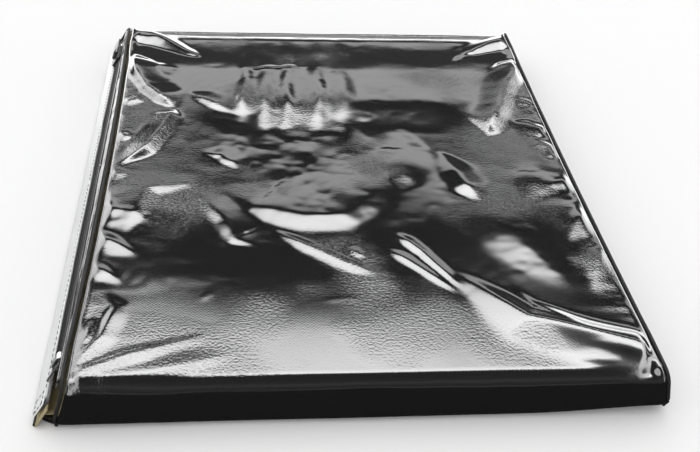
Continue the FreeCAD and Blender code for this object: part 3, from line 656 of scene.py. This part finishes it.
panel = wall_panel()
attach(panel, "bag")
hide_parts("right_end_wall", "right_end_padding")


# ---------------------------------------------------------------- bottom panel
# A flat padded panel of the black cloth. The wrap turns in over its front and back edges, and one row of
# thread holds them. It lies on the ground, so it only dents upwards.

BASE_END_X = 118.0
BASE_END_Y = 140.7
BASE_SEAM_Y = 143.0


def base_panel():
    """A flat grid under the bag, dented upward by a smooth noise that fades out at its sewn edges."""
    x = np.linspace(floor_low.x / MM, floor_high.x / MM - 0.4, 110)
    y = np.linspace(-BASE_END_Y, BASE_END_Y, 130)
    x, y = np.meshgrid(x, y, indexing="ij")
    edge = smooth_step((BASE_END_Y - np.abs(y)) / 12) * smooth_step((BASE_END_X - np.abs(x)) / 12)
    dent = edge * (0.7 * np.abs(lattice_noise(x, y, 34.0, 61)) + 0.3 * np.abs(lattice_noise(x, y, 13.0, 62)))
    outer = np.stack([x, y, 0.02 + dent], 2)
    inner = np.stack([x, y, PADDED + 0 * x], 2)
    return shell("base_panel", outer, inner, np.stack([x, y], 2), black_cloth, flip=True)


base = base_panel()
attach(base, "bag")
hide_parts("bottom_panel", "bottom_padding")


# ---------------------------------------------------------------- lining
# Tan glass cloth inside the whole pocket, in three sheets: one wrap that follows the cover, one on the bottom
# panel and one on the closed end. They ripple a little, always towards the pocket's inside.

tan_cloth = coated_cloth("tan_glass_cloth", (0.30, 0.25, 0.13), (0.42, 0.36, 0.21), 0.5,
                         3600.0, 700.0, 0.00004, 0.3)
LINING_OUT = 3.0
LINING_IN = 3.6


def wrap_lining():
    """The wrap's path at the lining's depth, with a slack ripple towards the pocket's inside."""
    path = wrap_path(4.0, 3.0)
    path = path[path[:, 1] > 3.2]
    across = np.linspace(0.0, 1.0, 90)
    y, z, ny, nz, s, left, right = wrap_grid(path, across)
    x = left + (right - left) * across[None, :]
    inboard = np.minimum(x - left, right - x)
    slack = 0.8 * np.abs(lattice_noise(x, s, 30.0, 71)) * smooth_step((inboard - 4) / 14)
    outer = np.stack([x, y - ny * (LINING_OUT + slack), z - nz * (LINING_OUT + slack)], 2)
    inner = np.stack([x, y - ny * (LINING_IN + slack), z - nz * (LINING_IN + slack)], 2)
    return shell("pocket_lining", outer, inner, np.stack([x, s], 2), tan_cloth)


def floor_lining():
    """A flat grid on the bottom padding, rippled upward."""
    x = np.linspace(-117.5, 118.0, 80)
    y = np.linspace(-149.0, 149.0, 90)
    x, y = np.meshgrid(x, y, indexing="ij")
    slack = 0.6 * np.abs(lattice_noise(x, y, 28.0, 72)) * smooth_step((110 - np.abs(x)) / 20)
    lift = smooth_step((np.abs(y) - 143.0) / 6.0) * 1.4
    low = np.stack([x, y, 3.0 + slack + lift], 2)
    high = np.stack([x, y, 3.5 + slack + lift], 2)
    return shell("floor_lining", low, high, np.stack([x, y], 2), tan_cloth, flip=True)


pocket_cloth = wrap_lining()
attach(pocket_cloth, "bag")
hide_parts("cover_lining")
floor_cloth = floor_lining()
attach(floor_cloth, "bag")
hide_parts("bottom_lining")


def end_wall_lining():
    """The closed end's slanting plane at the lining's depth, rippled inward."""
    y, z = np.meshgrid(np.linspace(-148.5, 148.5, 90), np.linspace(3.4, TALL - 3.8, 12), indexing="ij")
    slack = 0.4 * np.abs(lattice_noise(y, z, 22.0, 73))
    outer = np.stack([wall_x(z, LINING_OUT + 0.1 + slack, y, 1), y, z], 2)
    inner = np.stack([wall_x(z, LINING_IN + slack, y, 1), y, z], 2)
    return shell("end_lining", outer, inner, np.stack([y, z], 2), tan_cloth)


end_cloth = end_wall_lining()
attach(end_cloth, "bag")
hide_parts("right_end_lining")


# ---------------------------------------------------------------- zip band and base binding
# The open end's slanting wall hangs from the piping. A narrow black ledge takes up the seam's bow, and then a
# black band covers the upper tape's edge. A black binding closes the foot of the wall.

UPPER_FOLD = 2.4
BASE_FOLD = 23.2
BAND = (2.25, 3.3)
BAND_FRONT = -147.0
BAND_BACK = 147.0


def wall_point(s, n, y):
    """A point s down the open end's wall from the top edge, n out of its face, at y. All in mm."""
    s, n, y = np.broadcast_arrays(s, n, y)
    half_top = HALF_WIDE - TALL * math.tan(LEAN_ZIP)
    x = -(half_top + s * math.sin(LEAN_ZIP) + n * math.cos(LEAN_ZIP))
    return np.stack([x, y, TALL - s * math.cos(LEAN_ZIP) + n * math.sin(LEAN_ZIP)], -1)


def wall_strip(name, s_span, y_span, n_out, n_in, material, ripple, seed, cells=8):
    """A strip of cloth on the wall, between two distances down it. A smooth noise ripples its faces."""
    count = int(abs(y_span[1] - y_span[0]) / 1.6) + 2
    y, s = np.meshgrid(np.linspace(*y_span, count), np.linspace(*s_span, cells), indexing="ij")
    wave = ripple * lattice_noise(y, s * 1.5, 19.0, seed) + 0.4 * ripple * lattice_noise(y, s, 5.0, seed + 1)
    outer = wall_point(s, n_out + wave, y)
    inner = wall_point(s, n_in + wave, y)
    return shell(name, outer, inner, np.stack([y, s], 2), material, flip=True)


def lip_halves(build, names, nodes, spans):
    """A strip along the mouth in two halves that meet at mid depth. Each half has its transform baked into
    its points, and the model's part, where one is named, is hidden. Each half's far end stays with the bag.
    The rest turns with the lip, with a twist between."""
    for name, node, span in zip(names, nodes, spans):
        piece = build(name, span)
        if span[0] < 0:
            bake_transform(piece)
        else:
            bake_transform(piece)
        if node:
            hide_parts(node)


def seam_ledge():
    """From the piping's outer side to the fold line of the wall, a ruled surface that takes up the bow."""
    y, t = np.meshgrid(np.linspace(BAND_FRONT, BAND_BACK, 190), np.linspace(0.0, 1.0, 7), indexing="ij")
    far = wall_point(UPPER_FOLD + 0.2, -0.15, y)
    near = wall_point(1.5, -0.5, y)
    near[..., 0] += seam_bow(y, -1) * 0.93
    sag = (0.35 * np.sin(np.pi * t) * (0.4 + seam_bow(y, -1) / 3.0))[..., None] * np.array([0.2, 0.0, 1.0])
    ripple = (0.2 * lattice_noise(y, t, 6.0, 81) * np.sin(np.pi * t))[..., None] * np.array([0.0, 0.0, 1.0])
    outer = near * (1 - t[..., None]) + far * t[..., None] - sag + ripple
    inner = outer + np.array([0.25, 0.0, -0.55])
    return shell("seam_ledge", outer, inner, np.stack([y, 5 * t], 2), black_cloth, flip=True)


ledge = seam_ledge()
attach(ledge, "bag")

lip_halves(lambda name, span: wall_strip(name, BAND, span, 0.0, -0.75, black_cloth, 0.06, 82, 5),
           ("zip_band_front", "zip_band_back"),
           ("upper_lip_band", "upper_band_ends"), ((BAND_FRONT, 0.0), (0.0, BAND_BACK)))

y = np.linspace(-PANEL_END, PANEL_END, 200)
binding_path = wall_point(BASE_FOLD, -1.5, y)
binding_path[:, 2] += 0.05 * lattice_noise(y, 0 * y, 7.0, 83)
binding = tube("base_binding", binding_path, 0.8, 12, piping_cloth)
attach(binding, "bag")


# ---------------------------------------------------------------- zip tapes
# Two black polyester tapes woven in a herringbone. A coil is sewn to the edge of each, and the tapes are sewn
# behind the band above and the silver strip below.

def herringbone_cloth(name, colour, tint, rib, relief):
    """Ribs that slant one way and then the other in rows: a sine of s + |sawtooth of y|, as relief and
    tint."""
    material = new_material(name)
    tree = material.node_tree
    shader = add_node(tree, "ShaderNodeBsdfPrincipled", (400, 0), {"Roughness": 0.6, "Sheen Weight": 0.3})
    cloth = add_node(tree, "ShaderNodeUVMap", (-900, 0), uv_map="cloth")
    parts = add_node(tree, "ShaderNodeSeparateXYZ", (-750, 0), {0: cloth.outputs[0]})
    zigzag = add_node(tree, "ShaderNodeMath", (-600, 120),
                      {1: 0.0011, 0: parts.outputs["Y"]}, operation="PINGPONG")
    slant = add_node(tree, "ShaderNodeMath", (-450, 60),
                     {0: parts.outputs["X"], 1: zigzag.outputs[0]}, operation="ADD")
    scaled = add_node(tree, "ShaderNodeMath", (-300, 60),
                      {1: rib, 0: slant.outputs[0]}, operation="MULTIPLY")
    wave = add_node(tree, "ShaderNodeMath", (-150, 60), {0: scaled.outputs[0]}, operation="SINE")
    height = add_node(tree, "ShaderNodeMapRange", (0, 60), {"From Min": -1.0, "Value": wave.outputs[0]})
    mottle = add_node(tree, "ShaderNodeMix", (200, 200),
                      {6: (*colour, 1.0), 7: (*tint, 1.0), 0: height.outputs[0]}, data_type="RGBA")
    wire(mottle.outputs[2], shader.inputs["Base Color"])
    bump = add_node(tree, "ShaderNodeBump", (200, -200),
                    {"Strength": 1.0, "Distance": relief, "Height": height.outputs[0]})
    wire(bump.outputs[0], shader.inputs["Normal"])
    end_material(shader)
    return material


tape_cloth = herringbone_cloth("zip_tape_cloth", (0.014, 0.014, 0.015), (0.045, 0.045, 0.046), 6200.0, 0.0002)
UPPER_TAPE = (2.6, 5.5)
LOWER_TAPE = (10.5, 16.5)
TAPE_FACES = (-0.9, -1.3)
LOWER_TAPE_END = 149.0
lip_halves(lambda name, span: wall_strip(name, UPPER_TAPE, span, *TAPE_FACES, tape_cloth, 0.03, 91, 6),
           ("upper_tape_front", "upper_tape_back"),
           ("upper_zip_tape", "upper_tape_ends"), ((BAND_FRONT, 0.0), (0.0, BAND_BACK)))
lip_halves(lambda name, span: wall_strip(name, LOWER_TAPE, span, *TAPE_FACES, tape_cloth, 0.03, 93, 8),
           ("lower_tape_front", "lower_tape_back"),
           ("lower_zip_tape", "lower_tape_ends"), ((-LOWER_TAPE_END, 0.0), (0.0, LOWER_TAPE_END)))


# ---------------------------------------------------------------- zip coils
# Each half of the zip is one black nylon thread wound into a flat coil. The two coils mesh along the wall's
# middle, half a turn apart.

COIL_PITCH = 1.6
COIL_WIRE = 0.34
UPPER_COIL = (5.1, 8.35)
LOWER_COIL = (7.65, 10.9)
COIL_FRONT = -134.0
COIL_BACK = 131.6
COIL_TURN_POINTS = 10
COIL_SIDES = 5


def coil(name, s_span, y_span, offset):
    """A flat spring: s and n go round an oval while y advances one pitch a turn. Its wire is a round tube."""
    turns = (y_span[1] - y_span[0]) / COIL_PITCH
    t = np.linspace(0.0, turns, int(turns * COIL_TURN_POINTS) + 1)
    start = y_span[0] / COIL_PITCH
    angle = 2 * np.pi * (t + start + offset)
    half = (s_span[1] - s_span[0]) / 2 - COIL_WIRE
    s = (s_span[0] + s_span[1]) / 2 + half * np.cos(angle)
    n = -1.0 + 0.84 * np.sign(np.sin(angle)) * np.abs(np.sin(angle)) ** 0.8
    y = y_span[0] + COIL_PITCH * t - 0.28 * COIL_PITCH * np.sin(angle)
    lift = np.array([0.01 - math.cos(LEAN_ZIP), 0.02, math.sin(LEAN_ZIP)])
    return tube(name, wall_point(s, n, y), COIL_WIRE, COIL_SIDES, coil_nylon, lift=lift)


coil_nylon = new_material("coil_nylon")
tree = coil_nylon.node_tree
shader = add_node(tree, "ShaderNodeBsdfPrincipled", (300, 0),
                  {"Base Color": (0.012, 0.012, 0.013, 1.0), "Specular IOR Level": 0.6})
scuffs = object_noise(tree, {"Scale": 700.0, "Detail": 4.0})
worn = add_node(tree, "ShaderNodeMapRange", (-150, 0),
                {"To Min": 0.22, "To Max": 0.55, "Value": scuffs.outputs["Fac"]})
wire(worn.outputs[0], shader.inputs["Roughness"])
end_material(shader)

lip_halves(lambda name, span: coil(name, UPPER_COIL, span, 0.0),
           ("upper_coil_front", "upper_coil_back"),
           ("upper_zip_coil", "upper_coil_ends"), ((COIL_FRONT, 0.0), (0.0, COIL_BACK)))
lip_halves(lambda name, span: coil(name, LOWER_COIL, span, 0.5),
           ("lower_coil_front", "lower_coil_back"),
           ("lower_zip_coil", "lower_coil_ends"), ((COIL_FRONT, 0.0), (0.0, COIL_BACK)))


# ---------------------------------------------------------------- silver strip
# The lower part of the open end's wall is a strip of silver-coated glass cloth. A row of dark thread holds
# its upper edge to the tape, its foot goes into the base binding, and its front end has a hem.

silver_cloth = coated_cloth("silver_coated_cloth", (0.74, 0.75, 0.75), (0.92, 0.92, 0.92), 0.38,
                            3900.0, 800.0, 0.00006, 0.7)
STRIP = (12.6, 23.6)
STRIP_FRONT = -145.6
STRIP_LINING = (12.8, 22.8)
HEM_DOWN = (13.0, 20.6)
HEM_ALONG = (-149.4, -141.8)
lip_halves(lambda name, span: wall_strip(name, STRIP, span, 0.0, -0.8, silver_cloth, 0.16, 101, 12),
           ("silver_strip_front", "silver_strip_back"),
           ("lower_lip_strip", "lower_strip_ends"), ((STRIP_FRONT, 0.0), (0.0, PANEL_END)))
lip_halves(lambda name, span: wall_strip(name, STRIP_LINING, span, -1.4, -2.0, tan_cloth, 0.05, 103, 8),
           ("strip_lining_front", "strip_lining_back"),
           ("lower_lip_lining", "strip_lining_ends"), ((-151.8, 0.0), (0.0, 150.4)))


def hem_patch():
    """A second layer of the silver cloth over the strip's front end, its edges sunk into the strip."""
    y, s = np.meshgrid(np.linspace(*HEM_ALONG, 14), np.linspace(*HEM_DOWN, 14), indexing="ij")
    edge = smooth_step(np.minimum(y - HEM_ALONG[0], HEM_ALONG[1] - y) / 0.8)
    edge = edge * smooth_step(np.minimum(s - HEM_DOWN[0], HEM_DOWN[1] - s) / 0.8)
    raised = 0.15 + 0.45 * edge + 0.08 * lattice_noise(y, s, 3.0, 105)
    return shell("strip_hem", wall_point(s, raised, y), wall_point(s, -0.05, y), np.stack([y, s], 2),
                 silver_cloth, flip=True)


hem = hem_patch()
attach(hem, "bag")
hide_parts("strip_end_hem")


# ---------------------------------------------------------------- sewing thread
# Dark polyester thread: lock stitches along the strip's upper edge and round its hem, one row along the
# wrap's turned-in edges below, and a satin bar across each end of the zip.

thread = new_material("sewing_thread")
tree = thread.node_tree
shader = add_node(tree, "ShaderNodeBsdfPrincipled", (300, 0), {"Roughness": 0.55})
ply = object_noise(tree, {"Scale": 2500.0})
mottle = add_node(tree, "ShaderNodeMix", (0, 100),
                  {6: (0.02, 0.02, 0.022, 1.0), 7: (0.09, 0.09, 0.095, 1.0), 0: ply.outputs["Fac"]},
                   data_type="RGBA")
wire(mottle.outputs[2], shader.inputs["Base Color"])
end_material(shader)


def stitches(name, centres, along, out, length=2.3, wide=0.24, high=0.16):
    """Copies of one small rounded bar, six round by five along: radius falls as sqrt(1 - t^2) to its ends."""
    t = np.array([-1.0, -0.8, 0.0, 0.8, 1.0])
    turn = np.linspace(0, 2 * np.pi, 6, endpoint=False)
    swell = np.sqrt(np.maximum(1.0 - t ** 2, 0.02))[:, None]
    along, out = np.array(along, float), np.array(out, float)
    aside = np.cross(along, out)
    bar = (t[:, None, None] * length / 2 * along + (swell * np.cos(turn))[..., None] * wide * aside
           + (swell * np.sin(turn))[..., None] * high * out).reshape(-1, 3)
    index = np.arange(30).reshape(5, 6)
    following = np.roll(index, -1, axis=1)
    quads = np.stack([index[:-1], index[1:], following[1:], following[:-1]], 2).reshape(-1, 4)
    count = len(centres)
    points = (centres[:, None, :] + bar[None]).reshape(-1, 3)
    faces = (quads[None] + 30 * np.arange(count)[:, None, None]).reshape(-1, 4).tolist()
    caps = np.concatenate([index[0][None], index[-1, ::-1][None]])
    faces += (caps[None] + 30 * np.arange(count)[:, None, None]).reshape(-1, 6).tolist()
    return mesh_object(name, points, faces, thread)


STITCH_PITCH = 3.3
WALL_OUT = (-math.cos(LEAN_ZIP), 0.0, math.sin(LEAN_ZIP))
WALL_DOWN = (-math.sin(LEAN_ZIP), 0.0, -math.cos(LEAN_ZIP))


def strip_row(name, span):
    """One row of stitches along the strip's upper edge."""
    y = np.arange(span[0] + 2.0, span[1] - 1.0, STITCH_PITCH)
    return stitches(name, wall_point(13.5, 0.1, y), (0, 1, 0), WALL_OUT)


lip_halves(strip_row, ("strip_thread_front", "strip_thread_back"),
           (None, None), ((-148.0, 0.0), (0.0, 148.0)))
y = np.arange(-148.0, -142.5, 2.6)
s = np.arange(14.0, 20.5, 2.4)
hem_rows = np.concatenate([wall_point(20.0, 0.6, y), wall_point(13.7, 0.6, y)])
hem_thread = stitches("hem_thread_across", hem_rows, (0, 1, 0), WALL_OUT, 1.8)
hem_columns = np.concatenate([wall_point(s, 0.6, -142.6), wall_point(s, 0.6, -148.7)])
hem_side = stitches("hem_thread_down", hem_columns, WALL_DOWN, WALL_OUT, 1.7)
x = np.arange(-116.0, 119.0, STITCH_PITCH)
under = np.concatenate([np.stack([x, 0 * x + row, 0 * x + 0.12], 1) for row in (-BASE_SEAM_Y, BASE_SEAM_Y)])
base_thread = stitches("base_thread", under, (1, 0, 0), (0, 0, -1), 2.3, 0.24, 0.1)


def satin_bar(name, y_middle):
    """Thread to and fro across the bar: y swings between its two edges while s advances down the wall."""
    swings = 24
    t = np.linspace(0.0, 1.0, 230)
    s = 2.9 + 10.2 * t
    y = y_middle + 0.8 * np.sin(2 * np.pi * swings * t)
    n = 0.30 + 0.12 * np.cos(2 * np.pi * 2 * swings * t)
    return tube(name, wall_point(s, n, y), 0.2, 6, thread, lift=np.array(WALL_OUT))


TACK_Y = 137.0
tack_front = satin_bar("bar_tack_front", -TACK_Y)
tack_back = satin_bar("bar_tack_back", TACK_Y)
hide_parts("bar_tacks")
for piece in (hem_thread, hem_side, base_thread, tack_front, tack_back):
    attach(piece, "bag")


# ---------------------------------------------------------------- zip stops
# Pressed aluminium clips: one wide clip across both coils at the front, and a small one on each coil at the
# back.

bright_metal = new_material("stop_aluminium")
tree = bright_metal.node_tree
shader = add_node(tree, "ShaderNodeBsdfPrincipled", (300, 0),
                  {"Base Color": (0.80, 0.80, 0.81, 1.0), "Metallic": 0.9})
place = add_node(tree, "ShaderNodeTexCoord", (-800, 0))
stretch = add_node(tree, "ShaderNodeMapping", (-600, 0),
                   {"Scale": (300.0, 3000.0, 300.0), "Vector": place.outputs["Object"]})
scratches = add_node(tree, "ShaderNodeTexNoise", (-400, 0), {"Scale": 1.0, "Vector": stretch.outputs[0]})
worn = add_node(tree, "ShaderNodeMapRange", (-150, 0),
                {"To Min": 0.2, "To Max": 0.5, "Value": scratches.outputs["Fac"]})
wire(worn.outputs[0], shader.inputs["Roughness"])
end_material(shader)


CLIP_THICK = 0.3


def rounded(value, power):
    """A sine or cosine flattened towards a square wave, for rounded rectangles."""
    return np.sign(value) * np.abs(value) ** power


def clip_ring(name, s_middle, s_half, y_middle, y_half):
    """A flat metal band bent round the coil: a rounded rectangle in s and n, with an oval section in y."""
    loop = np.linspace(0, 2 * np.pi, 48, endpoint=False)[:, None]
    section = np.linspace(0, 2 * np.pi, 12, endpoint=False)[None, :]
    swell = CLIP_THICK * rounded(np.cos(section), 0.6)
    s = s_middle + (s_half - CLIP_THICK + swell) * rounded(np.cos(loop), 0.45)
    n = -1.0 + (1.6 + swell) * rounded(np.sin(loop), 0.45)
    y = y_middle + y_half * rounded(np.sin(section), 0.6) + 0 * loop
    points = wall_point(s, n, y).reshape(-1, 3)
    index = np.arange(48 * 12).reshape(48, 12)
    next_loop, next_section = np.roll(index, -1, 0), np.roll(index, -1, 1)
    quads = np.stack([index, next_section, np.roll(next_loop, -1, 1), next_loop], 2).reshape(-1, 4)
    return mesh_object(name, points, quads.tolist(), bright_metal)


FRONT_STOP_Y = -130.6
BACK_STOP_Y = 133.2
front_stop = clip_ring("front_stop", 8.0, 3.4, FRONT_STOP_Y, 1.8)
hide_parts("zip_bottom_stop")
upper_stop = clip_ring("back_stop_upper", 6.6, 1.9, BACK_STOP_Y, 1.2)
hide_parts("zip_top_stops")
lower_stop = clip_ring("back_stop_lower", 9.5, 1.9, BACK_STOP_Y, 1.2)
for piece in (front_stop, upper_stop, lower_stop):
    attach(piece, "bag")


# ---------------------------------------------------------------- zip slider and pull
# A die-cast slider and its swinging pull. They keep the shapes of their solids, and get black paint with
# spots worn to grey metal.

def worn_paint(name, paint, bare):
    """Black paint that noise breaks into worn spots of brighter, rougher metal."""
    material = new_material(name)
    tree = material.node_tree
    shader = add_node(tree, "ShaderNodeBsdfPrincipled", (400, 0))
    spots = object_noise(tree, {"Scale": 420.0, "Detail": 6.0})
    mask = add_node(tree, "ShaderNodeMapRange", (-400, 0),
                    {"From Min": 0.58, "From Max": 0.68, "Value": spots.outputs["Fac"]})
    mix = add_node(tree, "ShaderNodeMix", (0, 150),
                   {6: (*paint, 1.0), 7: (*bare, 1.0), 0: mask.outputs[0]}, data_type="RGBA")
    wire(mix.outputs[2], shader.inputs["Base Color"])
    gloss = add_node(tree, "ShaderNodeMapRange", (0, -100),
                     {"To Min": 0.28, "To Max": 0.5, "Value": mask.outputs[0]})
    wire(gloss.outputs[0], shader.inputs["Roughness"])
    bump = add_node(tree, "ShaderNodeBump", (150, -300),
                    {"Distance": 0.00004, "Height": spots.outputs["Fac"]})
    wire(bump.outputs[0], shader.inputs["Normal"])
    end_material(shader)
    return material


slider_paint = worn_paint("slider_paint", (0.015, 0.015, 0.016), (0.12, 0.12, 0.12))
for name in ("slider_body", "pull_tab"):
    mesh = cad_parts[name].data
    mesh.materials.clear()
    mesh.materials.append(slider_paint)
